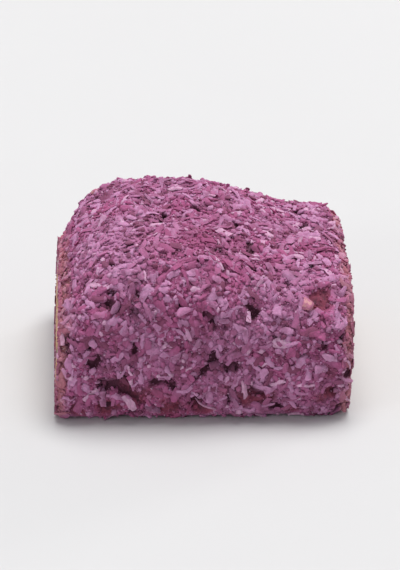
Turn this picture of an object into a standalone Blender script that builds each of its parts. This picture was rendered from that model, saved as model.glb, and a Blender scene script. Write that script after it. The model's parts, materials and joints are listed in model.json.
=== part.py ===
"""One bite of nut-filled Turkish delight, rolled in coarse mauve crumb and cut from its bar.

The bar ran along X. Two knife cuts left the flat ends at -X and +X, where the amber jelly and the
sliced nut kernels show. Front, back and top are soft and rounded, and the base lies on Z = 0.
"""

import math
from collections import namedtuple

import bmesh
import bpy
from mathutils import Euler, Matrix, Vector, noise

MM = 0.001

# The bite's overall size
LENGTH = 35.5 * MM  # along X, between the two cuts
WIDTH = 33.5 * MM  # along Y, front to back
HEIGHT = 21.0 * MM  # along Z

# Profile along the bar: the top is highest left of the middle, slopes down to a lower right
# shoulder, and rounds over into both cuts
PEAK_X = -2.5 * MM
LEFT_LEAN = 18.0 * MM  # how far the top would fall one LENGTH to the left of its peak
SHOULDER_DROP, SHOULDER_START, SHOULDER_END = 4.0 * MM, 0.0 * MM, 14.0 * MM
LEFT_DROP, LEFT_REACH = 6.4 * MM, 9.0 * MM
RIGHT_DROP, RIGHT_REACH = 3.0 * MM, 3.0 * MM
STEEPEST = 0.97  # keeps a soft edge from turning quite vertical at the cut

# Plan: how far front and back pull in at each cut, and over what reach
FRONT_PULL, FRONT_REACH = 1.4 * MM, 5.0 * MM
BACK_LEFT_PULL, BACK_LEFT_REACH = 4.6 * MM, 8.5 * MM
BACK_RIGHT_PULL, BACK_RIGHT_REACH = 2.2 * MM, 4.0 * MM

# Cross-section: corner radii, the crowned top and the bulging sides
TOP_FRONT_RADIUS = 6.8 * MM
TOP_BACK_RADIUS = 5.8 * MM
BASE_RADIUS = 2.4 * MM
TOP_CROWN = 1.5 * MM
SIDE_BULGE = 0.04  # of the half width, at half height

# Hand-made unevenness
LUMP_SIZE, LUMP_DEPTH = 9.5 * MM, 0.7 * MM
KNUCKLE_SIZE, KNUCKLE_DEPTH = 4.6 * MM, 0.45 * MM
LUMP_START = 4.0 * MM  # height over which lumps fade in above the flat base
LUMP_ORIGIN = Vector((3.7, 1.9, 8.3))  # where in the noise field the bite lies
DENT_DEPTH = 1.3 * MM
DENT_CENTRE = (-1.0 * MM, -2.0 * MM)
DENT_LONG, DENT_SHORT = 7.0 * MM, 3.0 * MM
DENT_TURN = math.radians(-38)
TRAPEZOID = -0.8  # per metre of Y: the back of the bite is a little narrower than its front
SKEW = -0.01  # metres of X for each metre of Y, from a knife held slightly askew
KNIFE_LEAN = 0.05  # metres of X for each metre of Z

# Mesh density
STATIONS = 26
CORNER_STEPS = 5
SIDE_STEPS, TOP_STEPS, BASE_STEPS = 4, 9, 4
KERNEL_SEGMENTS, KERNEL_RINGS = 14, 9

# Kernels and the jelly around them
GAP = 0.3 * MM
JELLY_SHRINK = 0.25 * MM  # how far the jelly draws back from the cut, behind the kernels
KERNEL_EGG = 0.17  # how much fuller one end of a kernel is
KERNEL_KEEL = 0.07  # the ridge along one side

# Each kernel that a cut went through. depth: from the cut to the kernel's centre. y, z: its place
# on the cut face. turn: roll about its own length, pitch and yaw, in degrees.
Kernel = namedtuple("Kernel", "depth y z length width thickness turn")
RIGHT_KERNELS = (
    Kernel(3.2, -9.2, 5.4, 14.0, 8.2, 6.8, (20, -10, 14)),
    Kernel(1.4, -0.2, 10.7, 12.2, 7.4, 5.8, (-15, 4, 76)),
    Kernel(3.0, 9.2, 5.5, 13.5, 7.6, 6.4, (60, 18, -22)),
    Kernel(2.6, 0.4, 3.7, 12.0, 7.0, 4.6, (5, -6, 8)),
    Kernel(2.2, -9.6, 11.5, 9.4, 4.8, 3.4, (0, 12, 20)),
    Kernel(2.0, 9.2, 11.8, 9.0, 4.8, 3.2, (-10, 8, -30)),
)
LEFT_KERNELS = (
    Kernel(1.6, -6.5, 8.7, 11.4, 8.0, 5.2, (12, -6, 98)),
    Kernel(2.6, -8.6, 3.1, 11.0, 6.6, 3.8, (0, 5, -12)),
    Kernel(3.0, 0.6, 4.1, 13.0, 6.2, 5.4, (30, 10, 16)),
    Kernel(3.4, 8.1, 5.7, 13.0, 7.4, 6.6, (75, -14, -12)),
    Kernel(2.0, 3.2, 10.3, 9.4, 5.0, 3.2, (8, 6, 24)),
)

COAT = (0.40, 0.13, 0.27, 1.0)
JELLY = (0.19, 0.075, 0.028, 1.0)
NUT = (0.56, 0.32, 0.18, 1.0)


def clear_scene():
    for obj in list(bpy.data.objects):
        bpy.data.objects.remove(obj, do_unlink=True)


def principled(name, colour, roughness):
    material = bpy.data.materials.new(name)
    material.use_nodes = True
    shader = material.node_tree.nodes["Principled BSDF"]
    shader.inputs["Base Color"].default_value = colour
    shader.inputs["Roughness"].default_value = roughness
    material.diffuse_color = colour
    return material


def smooth(value):
    """0 to 1 with soft ends."""
    value = min(max(value, 0.0), 1.0)
    return value * value * (3 - 2 * value)


def soft_edge(distance, drop, reach):
    """A quarter ellipse: how far a surface has fallen this far inside the cut."""
    inward = min(max(1 - distance / reach, 0.0), STEEPEST)
    return drop * (1 - math.sqrt(1 - inward * inward))


def top_height(x):
    """Height of the top, before its crown, at a station along the bar."""
    beyond = x - PEAK_X
    lean = LEFT_LEAN * (min(beyond, 0.0) / LENGTH) ** 2
    shoulder = SHOULDER_DROP * smooth((beyond - SHOULDER_START) / (SHOULDER_END - SHOULDER_START))
    left = soft_edge(x + LENGTH / 2, LEFT_DROP, LEFT_REACH)
    right = soft_edge(LENGTH / 2 - x, RIGHT_DROP, RIGHT_REACH)
    return HEIGHT - TOP_CROWN - lean - shoulder - left - right


def half_widths(x):
    """How far the front and the back lie from the middle at a station."""
    from_left, from_right = x + LENGTH / 2, LENGTH / 2 - x
    full = WIDTH / 2 / (1 + SIDE_BULGE)
    front = full - soft_edge(min(from_left, from_right), FRONT_PULL, FRONT_REACH)
    back = full - soft_edge(from_left, BACK_LEFT_PULL, BACK_LEFT_REACH)
    back -= soft_edge(from_right, BACK_RIGHT_PULL, BACK_RIGHT_REACH)
    return front, back


def arc(y, z, radius, start):
    """A quarter circle of points, anticlockwise from an angle in degrees."""
    for step in range(CORNER_STEPS + 1):
        angle = math.radians(start + 90 * step / CORNER_STEPS)
        yield y + radius * math.cos(angle), z + radius * math.sin(angle)


def section(x):
    """The outline across the bar as (y, z) points, anticlockwise seen from +X."""
    front, back = half_widths(x)
    top = top_height(x)
    corners = (
        (BASE_RADIUS - front, BASE_RADIUS, BASE_RADIUS, 180, BASE_STEPS),
        (back - BASE_RADIUS, BASE_RADIUS, BASE_RADIUS, 270, SIDE_STEPS),
        (back - TOP_BACK_RADIUS, top - TOP_BACK_RADIUS, TOP_BACK_RADIUS, 0, TOP_STEPS),
        (TOP_FRONT_RADIUS - front, top - TOP_FRONT_RADIUS, TOP_FRONT_RADIUS, 90, SIDE_STEPS),
    )
    arcs = [list(arc(*corner[:4])) for corner in corners]
    outline = []
    for index, (points, corner) in enumerate(zip(arcs, corners)):
        outline += points
        end, start, steps = points[-1], arcs[(index + 1) % 4][0], corner[4]
        for step in range(1, steps):
            share = step / steps
            outline.append(tuple(a + (b - a) * share for a, b in zip(end, start)))
    return outline, front, back, top


def dent(x, y):
    """Depth of the thumb-soft hollow that runs slantwise over the top."""
    dx, dy = x - DENT_CENTRE[0], y - DENT_CENTRE[1]
    along = dx * math.cos(DENT_TURN) + dy * math.sin(DENT_TURN)
    across = dy * math.cos(DENT_TURN) - dx * math.sin(DENT_TURN)
    return DENT_DEPTH * math.exp(-((along / DENT_LONG) ** 2) - (across / DENT_SHORT) ** 2)


def pillow(x, y, z, front, back, top):
    """Crowns the top, bulges the sides and adds the dent and the lumps to one outline point."""
    level = z / top
    half = front if y < 0 else back
    across = y / half
    crowned = z + TOP_CROWN * level**2 * (1 - across**2) - dent(x, y) * smooth(level * 2 - 1)
    bulged = y * (1 + SIDE_BULGE * 4 * level * (1 - level))
    here = Vector((x, bulged, crowned))
    lump = LUMP_DEPTH * noise.noise(here / LUMP_SIZE + LUMP_ORIGIN)
    lump += KNUCKLE_DEPTH * noise.noise(here / KNUCKLE_SIZE + LUMP_ORIGIN)
    outward = Vector((0, bulged, crowned - top * 0.45)).normalized()
    return here + outward * lump * smooth(z / LUMP_START)


def hand_cut(point):
    """Turns the square bar into the slightly slanted piece that a hand-held knife leaves."""
    slant = SKEW * point.y + KNIFE_LEAN * (point.z - HEIGHT / 2)
    return Vector((point.x * (1 + TRAPEZOID * point.y) + slant, point.y, point.z))


def stations():
    """X of each outline, closer together near the cuts."""
    half = LENGTH / 2 - JELLY_SHRINK
    for index in range(STATIONS):
        share = 2 * index / (STATIONS - 1) - 1
        yield half * (0.55 * share + 0.45 * math.sin(math.pi / 2 * share))


def finished(bm, name, *materials):
    """Writes a bmesh out as a smooth-shaded object."""
    mesh = bpy.data.meshes.new(name)
    bm.to_mesh(mesh)
    bm.free()
    for material in materials:
        mesh.materials.append(material)
    mesh.shade_smooth()
    mesh.set_sharp_from_angle(angle=math.radians(40))
    obj = bpy.data.objects.new(name, mesh)
    bpy.context.collection.objects.link(obj)
    return obj


def make_body(coat, jelly):
    """The jelly with its coat: outlines lofted along the bar and closed by the two cut faces."""
    bm = bmesh.new()
    rings = []
    for x in stations():
        outline, front, back, top = section(x)
        points = [hand_cut(pillow(x, y, z, front, back, top)) for y, z in outline]
        rings.append([bm.verts.new(point) for point in points])
    for low, high in zip(rings, rings[1:]):
        for index in range(len(low)):
            after = (index + 1) % len(low)
            bm.faces.new((low[index], low[after], high[after], high[index]))
    for ring in (rings[0][::-1], rings[-1]):
        bm.faces.new(ring).material_index = 1
    bmesh.ops.recalc_face_normals(bm, faces=bm.faces)
    return finished(bm, "jelly_body", coat, jelly)


def kernel_bmesh(kernel, side, grow):
    """A kernel in its place: an egg with a keel, swollen all round by grow."""
    bm = bmesh.new()
    bmesh.ops.create_uvsphere(bm, u_segments=KERNEL_SEGMENTS, v_segments=KERNEL_RINGS, radius=1)
    for vert in bm.verts:
        along, across, up = vert.co.z, vert.co.x, vert.co.y
        girth = 1 - KERNEL_EGG * along
        keel = 1 + KERNEL_KEEL * max(across, 0.0) ** 3
        half = Vector((kernel.length, kernel.width * girth * keel, kernel.thickness * girth)) * MM / 2
        vert.co = Vector((along, across, up)) * half
    bmesh.ops.recalc_face_normals(bm, faces=bm.faces)
    bm.normal_update()
    for vert in bm.verts:
        vert.co += vert.normal * grow
    turn = Euler([math.radians(angle) for angle in kernel.turn], "XYZ").to_matrix().to_4x4()
    place = Vector((side * (LENGTH / 2 - kernel.depth * MM), kernel.y * MM, kernel.z * MM))
    bmesh.ops.transform(bm, matrix=Matrix.Translation(place) @ turn, verts=bm.verts)
    return bm


def slant_all(bm):
    for vert in bm.verts:
        vert.co = hand_cut(vert.co)


def make_kernel(name, kernel, side, material):
    """The kernel as the knife left it, sliced flush with the cut."""
    bm = kernel_bmesh(kernel, side, 0.0)
    everything = bm.verts[:] + bm.edges[:] + bm.faces[:]
    cut = Vector((side * LENGTH / 2, 0, 0))
    sliced = bmesh.ops.bisect_plane(
        bm, geom=everything, dist=1e-6, plane_co=cut, plane_no=Vector((side, 0, 0)), clear_outer=True
    )
    rim = [item for item in sliced["geom_cut"] if isinstance(item, bmesh.types.BMEdge)]
    bmesh.ops.contextual_create(bm, geom=rim)
    slant_all(bm)
    bmesh.ops.recalc_face_normals(bm, faces=bm.faces)
    return finished(bm, name, material)


def cut_seat(body, name, kernel, side):
    """Hollows the jelly round a kernel. The cutter runs out through the cut face."""
    bm = kernel_bmesh(kernel, side, GAP)
    slant_all(bm)
    cutter = finished(bm, name + "_seat")
    cutter.hide_render = True
    cutter.display_type = "WIRE"
    boolean = body.modifiers.new(name, "BOOLEAN")
    boolean.operation = "DIFFERENCE"
    boolean.solver = "EXACT"
    boolean.object = cutter


def fit_to_size(objects):
    """Brings every mesh alike to LENGTH, WIDTH and HEIGHT over all, centred over the origin on Z = 0."""
    points = [vert.co for obj in objects if not obj.hide_render for vert in obj.data.vertices]
    low = Vector([min(point[axis] for point in points) for axis in range(3)])
    high = Vector([max(point[axis] for point in points) for axis in range(3)])
    made = high - low
    stretch = Matrix.Diagonal((LENGTH / made.x, WIDTH / made.y, HEIGHT / made.z, 1))
    foot = Vector(((low.x + high.x) / 2, (low.y + high.y) / 2, low.z))
    for obj in objects:
        obj.data.transform(stretch @ Matrix.Translation(-foot))
    print(f"drawn {made.x / MM:.2f} x {made.y / MM:.2f} x {made.z / MM:.2f} mm, then fitted to size")


def main():
    clear_scene()
    coat = principled("mauve_coat", COAT, 0.85)
    jelly = principled("amber_jelly", JELLY, 0.25)
    body = make_body(coat, jelly)
    for end, side, kernels in (("right", 1, RIGHT_KERNELS), ("left", -1, LEFT_KERNELS)):
        for number, kernel in enumerate(kernels, 1):
            name = f"kernel_{end}_{number}"
            make_kernel(name, kernel, side, principled(name, NUT, 0.55))
            cut_seat(body, name, kernel, side)
    fit_to_size(list(bpy.data.objects))


main()
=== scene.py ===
# %% [markdown]
# # A nut-filled lokum bite in a coarse mauve crumb coat
#
# Lokum is starch jelly, cooked thick around nuts. A bar of it is rolled in coloured crumb and cut
# into bites. Each bite keeps its crumb on the rolled sides, and its two cut ends show the jelly and
# the sliced nuts. This lesson builds that bite around a fixed model of its shape, so every size
# below is read from the model or given in millimetres.

# %% The fixed frame
import json
import math

import bmesh
import bpy
import numpy as np
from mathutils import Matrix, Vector, noise
from mathutils.bvhtree import BVHTree

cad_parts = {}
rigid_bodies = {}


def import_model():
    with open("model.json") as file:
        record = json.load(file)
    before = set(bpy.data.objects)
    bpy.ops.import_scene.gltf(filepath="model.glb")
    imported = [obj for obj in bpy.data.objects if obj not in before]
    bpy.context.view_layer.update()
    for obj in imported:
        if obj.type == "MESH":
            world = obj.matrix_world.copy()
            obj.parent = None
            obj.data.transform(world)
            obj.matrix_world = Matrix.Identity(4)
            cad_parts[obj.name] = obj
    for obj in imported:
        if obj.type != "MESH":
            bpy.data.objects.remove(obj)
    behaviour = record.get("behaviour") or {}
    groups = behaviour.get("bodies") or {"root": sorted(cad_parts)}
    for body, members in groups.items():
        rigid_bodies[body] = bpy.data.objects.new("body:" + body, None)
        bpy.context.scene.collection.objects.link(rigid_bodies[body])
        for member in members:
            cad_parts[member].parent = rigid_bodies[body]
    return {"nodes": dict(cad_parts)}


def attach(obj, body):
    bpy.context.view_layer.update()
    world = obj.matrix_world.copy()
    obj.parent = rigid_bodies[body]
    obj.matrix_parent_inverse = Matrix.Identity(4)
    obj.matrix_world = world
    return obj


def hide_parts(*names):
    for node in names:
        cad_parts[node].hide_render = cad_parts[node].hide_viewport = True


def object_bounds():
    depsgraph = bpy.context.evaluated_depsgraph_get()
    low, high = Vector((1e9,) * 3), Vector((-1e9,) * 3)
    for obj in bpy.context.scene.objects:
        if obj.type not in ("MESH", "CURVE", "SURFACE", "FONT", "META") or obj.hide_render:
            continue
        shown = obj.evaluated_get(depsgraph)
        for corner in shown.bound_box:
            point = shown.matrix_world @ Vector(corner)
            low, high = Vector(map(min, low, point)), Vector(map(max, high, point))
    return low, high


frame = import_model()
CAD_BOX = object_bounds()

MM = 0.001
LOW, HIGH = (np.array(corner) for corner in CAD_BOX)
LENGTH, WIDTH, HEIGHT = HIGH - LOW
KERNELS = sorted(name for name in frame["nodes"] if name.startswith("kernel"))
print(f"bite {LENGTH / MM:.1f} x {WIDTH / MM:.1f} x {HEIGHT / MM:.1f} mm, {len(KERNELS)} kernels")

# %% [markdown]
# ## Arithmetic for shader nodes
#
# A finish that varies over a surface needs sums on node sockets. Placing Math nodes by hand hides
# the formula, so a small class wraps a socket and lets Python's operators add the nodes. Colours
# go through Mix nodes instead, because a Math node would turn them grey.


# %% A number that varies over a surface
class Num:
    """A socket that holds one number, with Python's arithmetic."""

    def __init__(self, finish, socket):
        self.finish, self.socket = finish, socket

    def __add__(self, other):
        return self.finish.math("ADD", self, other)

    def __sub__(self, other):
        return self.finish.math("SUBTRACT", self, other)

    def __rsub__(self, other):
        return self.finish.math("SUBTRACT", other, self)

    def __mul__(self, other):
        return self.finish.math("MULTIPLY", self, other)

    __radd__, __rmul__ = __add__, __mul__

    def ramp(self, low, high):
        """0 below low, 1 above high, and a soft step between. With low above high it falls."""
        settings = {"interpolation_type": "SMOOTHSTEP", "clamp": True}
        if low > high:
            return 1 - self.ramp(high, low)
        return self.finish.node(
            "ShaderNodeMapRange", settings, {"Value": self, "From Min": low, "From Max": high}
        )


# %% Nodes in any tree
def feed(tree, socket, value):
    """Links a socket to a node's result, or gives it a value of its own."""
    if isinstance(value, Num):
        value = value.socket
    if isinstance(value, bpy.types.NodeSocket):
        tree.links.new(value, socket)
    else:
        socket.default_value = value


def add_node(tree, kind, settings, inputs, output):
    """A node: its settings first, then the values or links of its sockets."""
    made = tree.nodes.new(kind)
    for name, value in settings.items():
        setattr(made, name, value)
    for key, value in inputs.items():
        feed(tree, made.inputs[key], value)
    return made.outputs[output]


# %% A material that is built by formula
class Finish:
    """A material. Constants go straight on its shader, and node() makes whatever varies."""

    def __init__(self, name, **constants):
        self.material = bpy.data.materials.new(name)
        self.material.use_nodes = True
        self.tree = self.material.node_tree
        self.shader = self.tree.nodes["Principled BSDF"]
        for label, value in constants.items():
            self.shader.inputs[label.replace("_", " ")].default_value = value
        self.place = self.node("ShaderNodeTexCoord", {}, {}, "Object")

    def node(self, kind, settings, inputs, output=0):
        return Num(self, add_node(self.tree, kind, settings, inputs, output))

    def math(self, operation, *terms):
        return self.node("ShaderNodeMath", {"operation": operation}, dict(enumerate(terms)))

    def mix(self, share, first, second):
        """A colour between two, by a number from 0 to 1."""
        colours = {0: share, 6: rgba(first), 7: rgba(second)}
        return self.node("ShaderNodeMix", {"data_type": "RGBA"}, colours, 2)

    def layers(self, colour, *coats):
        """A colour under coats of others, each given as how much it covers, and its colour."""
        for share, coat in coats:
            colour = self.mix(share, colour, coat)
        return colour

    def attribute(self, name):
        return self.node("ShaderNodeAttribute", {"attribute_name": name}, {}, "Fac")

    def noise(self, size_mm, detail=2.0, roughness=0.5, where=None):
        """Cloudy noise whose blotches are about size_mm wide."""
        inputs = {"Scale": 1 / (size_mm * MM), "Detail": detail, "Roughness": roughness}
        inputs["Vector"] = where or self.place
        return self.node("ShaderNodeTexNoise", {}, inputs, "Fac")

    def frayed(self, name, amount, *blotches):
        """A kept number with noise added, so that what stops at a distance has an uneven edge."""
        return self.attribute(name) + amount * (self.noise(*blotches) - 0.5)

    def stretched(self, x, y, z):
        """Object coordinates drawn out along an axis, for scratches and fibres."""
        inputs = {0: self.place, 1: (x, y, z)}
        return self.node("ShaderNodeVectorMath", {"operation": "MULTIPLY"}, inputs)

    def bump(self, height, depth_mm):
        """Fine relief, as a height from 0 to 1 that stands depth_mm tall."""
        inputs = {"Height": height, "Distance": depth_mm * MM, "Strength": 1.0}
        self.drive("Normal", self.node("ShaderNodeBump", {}, inputs))

    def drive(self, label, value):
        feed(self.tree, self.shader.inputs[label], value)


def rgba(colour):
    return colour if isinstance(colour, Num) else (*colour, 1.0)


# %% [markdown]
# ## Where the crumb and the knife have been
#
# The rolled sides run as one tube from cut to cut. Its surface is easiest to work on as a chart
# with two directions: along the bar, from one cut to the other, and round it. So the two cut
# planes are fitted first. Then rays shot inwards find how far the skin lies from the bar's core
# line at every place on the chart. A little blurring takes out the model's flat facets.

# %% The two knife cuts
CORE_Y, CORE_Z = 0.0, 0.42 * HEIGHT  # the bar's core line runs here
SIDES = {"left": -1, "right": 1}  # which way each cut faces along X
FACES_OUT = 0.997  # how nearly along X the normal of a cut face points
END_ZONE = 0.4 * LENGTH  # a cut face lies further than this from the middle


def cut_plane(side):
    """A cut as (a, b, c) in x = a + b y + c z, from the jelly's flat end faces."""
    mesh = frame["nodes"]["jelly_body"].data
    flat = [face for face in mesh.polygons if face.normal.x * side > FACES_OUT]
    points = np.array([mesh.vertices[i].co for face in flat for i in face.vertices])
    points = points[points[:, 0] * side > END_ZONE]
    slope = np.c_[np.ones(len(points)), points[:, 1:]]
    return np.linalg.lstsq(slope, points[:, 0], rcond=None)[0]


CUTS = {end: cut_plane(side) for end, side in SIDES.items()}


def cut_x(end, y, z):
    a, b, c = CUTS[end]
    return a + b * y + c * z


def bar_x(share, y, z):
    """X at a share of the way from the left cut to the right one."""
    return (1 - share) * cut_x("left", y, z) + share * cut_x("right", y, z)


for end, (a, b, c) in CUTS.items():
    turned, leaning = math.degrees(b), math.degrees(c)
    print(f"{end} cut at x = {a / MM:.2f} mm, turned {turned:.1f} and leaning {leaning:.1f} degrees")

# %% The chart of the skin
ALONG, AROUND = 168, 480
RAY_START = 30 * MM
CUT_MARGIN = 0.006  # the share of the bar beside each cut that no ray comes near
FACET_BLUR = 8  # rounds of softening


def circle(count):
    """Evenly spaced angles, once round."""
    return np.arange(count) * 2 * math.pi / count


def tree_of(node):
    """A fixed node's surface, for rays to hit."""
    mesh = frame["nodes"][node].data
    return BVHTree.FromPolygons([v.co for v in mesh.vertices], [p.vertices for p in mesh.polygons])


def skin_chart():
    """Distance from the core line to the skin, for each station and each angle."""
    skin = tree_of("jelly_body")
    chart = np.zeros((ALONG, AROUND))
    for i, share in enumerate(np.linspace(CUT_MARGIN, 1 - CUT_MARGIN, ALONG)):
        for j, angle in enumerate(circle(AROUND)):
            y = CORE_Y + RAY_START * math.cos(angle)
            z = CORE_Z + RAY_START * math.sin(angle)
            start = Vector((bar_x(share, y, z), y, z))
            core = Vector((bar_x(share, CORE_Y, CORE_Z), CORE_Y, CORE_Z))
            chart[i, j] = RAY_START - skin.ray_cast(start, core - start)[3]
    return chart


def blurred(chart, times):
    """Softens a chart, round the bar and along it."""
    for _ in range(times):
        chart = (np.roll(chart, 1, 1) + 2 * chart + np.roll(chart, -1, 1)) / 4
        padded = np.pad(chart, ((1, 1), (0, 0)), "edge")
        chart = (padded[:-2] + 2 * padded[1:-1] + padded[2:]) / 4
    return chart


SKIN = blurred(skin_chart(), FACET_BLUR)
print(f"skin {SKIN.min() / MM:.1f} to {SKIN.max() / MM:.1f} mm from the core line")

# %% Places on the chart
def skin_at(shares, angles):
    """The chart read between its own stations and angles."""
    row = np.clip(shares, 0, 1) * (ALONG - 1)
    column = (angles / (2 * math.pi) % 1) * AROUND
    i, j = np.floor(row).astype(int), np.floor(column).astype(int)
    up, over = np.minimum(i + 1, ALONG - 1), (j + 1) % AROUND
    down, across = row - i, column - j
    j = j % AROUND
    near = SKIN[i, j] * (1 - across) + SKIN[i, over] * across
    far = SKIN[up, j] * (1 - across) + SKIN[up, over] * across
    return near * (1 - down) + far * down


def tube_points(shares, angles, radii):
    """The places at these shares, angles and distances from the core line."""
    y = CORE_Y + radii * np.cos(angles)
    z = CORE_Z + radii * np.sin(angles)
    return np.stack([bar_x(shares, y, z), y, z], -1)


def grid_normals(points):
    """Outward normals of a grid of points: stations by angles."""
    around = np.roll(points, -1, 1) - np.roll(points, 1, 1)
    along = np.gradient(points, axis=0)
    normal = np.cross(around, along)
    return normal / np.linalg.norm(normal, axis=-1, keepdims=True)


# %% [markdown]
# ## Noise for the shapes
#
# Food is uneven at several scales at once. Blender's gradient noise gives soft lumps, and its cell
# noise gives packed grains. Both are read at each point and are the same on every run.

# %% Lumps, grains and soft steps
def lumps(points, size_mm, shift=0.0):
    """Soft noise from -1 to 1, with lumps about size_mm wide."""
    flat = points.reshape(-1, 3) / (size_mm * MM) + shift
    return np.array([noise.noise(Vector(p)) for p in flat]).reshape(points.shape[:-1])


def grains(points, size_mm, shift=0.0):
    """Packed round grains: 1 at the middle of each and 0 at their seams."""
    flat = points.reshape(-1, 3) / (size_mm * MM) + shift
    nearest = np.array([noise.voronoi(Vector(p))[0][:2] for p in flat])
    seam = np.clip((nearest[:, 1] - nearest[:, 0]) * 1.6, 0, 1)
    return np.sqrt(seam).reshape(points.shape[:-1])


def step(values, low, high):
    """0 below low and 1 above high, with soft ends."""
    share = np.clip((values - low) / (high - low), 0, 1)
    return share * share * (3 - 2 * share)


# %% [markdown]
# ## Meshes from rings
#
# The coat, the jelly and every kernel are closed forms that run in rings from one pole or rim to
# another. One function turns such rings into a mesh, so that each piece below only has to say
# where its rings lie.

# %% Rings to a mesh
def linked(name, data):
    """A new object in the scene for a mesh, a light or a camera."""
    made = bpy.data.objects.new(name, data)
    bpy.context.collection.objects.link(made)
    return made


def ring_mesh(name, rings, closed=False, poles=(None, None)):
    """A mesh from rings of points. closed joins the last ring to the first. A pole ends a side."""
    count, around = rings.shape[:2]
    corners = np.arange(count * around).reshape(count, around)
    low, high = (corners, np.roll(corners, -1, 0)) if closed else (corners[:-1], corners[1:])
    quads = np.stack([low, np.roll(low, -1, 1), np.roll(high, -1, 1), high], -1).reshape(-1, 4)
    points, faces = list(rings.reshape(-1, 3)), quads.tolist()
    for pole, ring, turn in ((poles[0], corners[0], -1), (poles[1], corners[-1], 1)):
        if pole is not None:
            after = np.roll(ring, -1)
            fan = np.stack([ring, after, np.full(around, len(points))], -1)[:, ::turn]
            points.append(pole)
            faces += fan.tolist()
    mesh = bpy.data.meshes.new(name)
    mesh.from_pydata(points, [], faces)
    mesh.shade_smooth()
    return linked(name, mesh)


def bmesh_piece(name, bm):
    """A smooth-shaded piece from a bmesh."""
    mesh = bpy.data.meshes.new(name)
    bm.to_mesh(mesh)
    bm.free()
    mesh.shade_smooth()
    return linked(name, mesh)


# %% What every finished piece needs
def outward(piece):
    """Turns every face of a closed piece outwards."""
    bm = bmesh.new()
    bm.from_mesh(piece.data)
    bmesh.ops.recalc_face_normals(bm, faces=bm.faces)
    if bm.calc_volume(signed=True) < 0:
        bmesh.ops.reverse_faces(bm, faces=bm.faces)
    bm.to_mesh(piece.data)
    bm.free()
    return piece


def note(piece, name, values):
    """Keeps a number at each point of a piece, for its finish to read."""
    attribute = piece.data.attributes.new(name, "FLOAT", "POINT")
    attribute.data.foreach_set("value", np.asarray(values, np.float32).ravel())


def settle(piece, finish, slot, *nodes):
    """Gives a finished piece its material, its body and the nodes it stands for."""
    piece.data.materials.clear()
    piece.data.materials.append(finish.material)
    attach(piece, "root")
    if nodes:
        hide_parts(*nodes)
    print(f"{piece.name}: {len(piece.data.polygons)} faces")


# %% [markdown]
# ## The relief of the coat
#
# The crumb was pressed on by rolling. That leaves wide soft clumps, packed grains, and small dark
# pits where crumb fell out. Close to the cuts it lies thin, and the jelly's edge glows through. Low
# on the sides, and beside one chip of nut, patches stayed bare. On the base the weight of the bite
# pressed all of it flat. This is real height on the chart, in millimetres from the skin, so that
# the coat keeps its shape from every side and in the exported mesh.

# %% Places on the coat
THETA = circle(AROUND)
SHARES, ANGLES = np.meshgrid(np.linspace(0, 1, ALONG), THETA, indexing="ij")
SMOOTH = tube_points(SHARES, ANGLES, SKIN)
NORMALS = grid_normals(SMOOTH)
FROM_CUT = np.minimum(SHARES, 1 - SHARES) * LENGTH / MM
ABOVE_BASE = SMOOTH[..., 2] / MM
BASE = step(-NORMALS[..., 2], 0.6, 0.95)  # 1 where the bite stands on the table


def coat_point(share, degrees):
    """The skin's place and outward direction at a share along the bar and an angle round it."""
    i = round(share * (ALONG - 1))
    j = round(degrees / 360 * AROUND) % AROUND
    return SMOOTH[i, j], NORMALS[i, j]


def patch(share, degrees, radius_mm):
    """A soft round patch of the chart: 1 in its middle, falling to 0."""
    gap = np.linalg.norm(SMOOTH - coat_point(share, degrees)[0], axis=-1) / MM
    return np.exp(-((gap / radius_mm) ** 2))


def patches(*places):
    """The strongest of some patches, each with its strength as a fourth number."""
    return np.max([strength * patch(*place) for *place, strength in places], axis=0)


# %% Heights over the chart
CLUMP = lumps(SMOOTH, 3.3)
KNOTS = lumps(SMOOTH, 1.6, 7.0)
GRAIN = grains(SMOOTH, 0.8)
PITS = step(lumps(SMOOTH, 1.7, 21.0) - 0.35 * CLUMP - 0.008 * ABOVE_BASE, 0.24, 0.50)
PITS = np.maximum(PITS, patches((0.157, 156, 0.75, 1.5), (0.196, 158, 0.5, 0.9), (0.254, 160, 0.6, 0.8)))
PITTED = np.minimum(PITS, 1)
EDGE = 1 - step(FROM_CUT + 0.8 * KNOTS + 0.5 * CLUMP, 0.15, 1.5)
BARE = (1 - step(ABOVE_BASE + 2.5 * CLUMP, 1.5, 7.5)) * step(lumps(SMOOTH, 2.6, 40.0), 0.0, 0.4)
BARE = BARE * step(FROM_CUT, 0.8, 2.2)
BARE = np.maximum(BARE, step(patch(0.884, 154.5, 1.9) + 0.3 * KNOTS, 0.35, 0.75))
ROSY = patches((0.478, 121, 4.2, 1.2), (0.851, 113, 2.2, 0.8))
PALE = patches((0.20, 128, 5.0, 1.0), (0.84, 140, 2.6, 0.6)) * (1 - 0.6 * PITTED)

# %% The coat's height, and where loose crumb lies
SUNK_MM = 0.36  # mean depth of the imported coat, so that the loose crumb ends at the skin
CLUMP_MM, KNOT_MM, GRAIN_MM, PIT_MM = 0.24, 0.20, 0.20, 0.58
EDGE_MM, BARE_MM = 0.08, 0.40  # how much thinner the coat is at a cut and where it stayed bare
BASE_SUNK_MM, BASE_GRAIN_MM, BASE_PIT_MM = 0.10, 0.06, 0.25
BASE_COVER = 0.35  # few loose pieces lie flat under the bite

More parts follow.
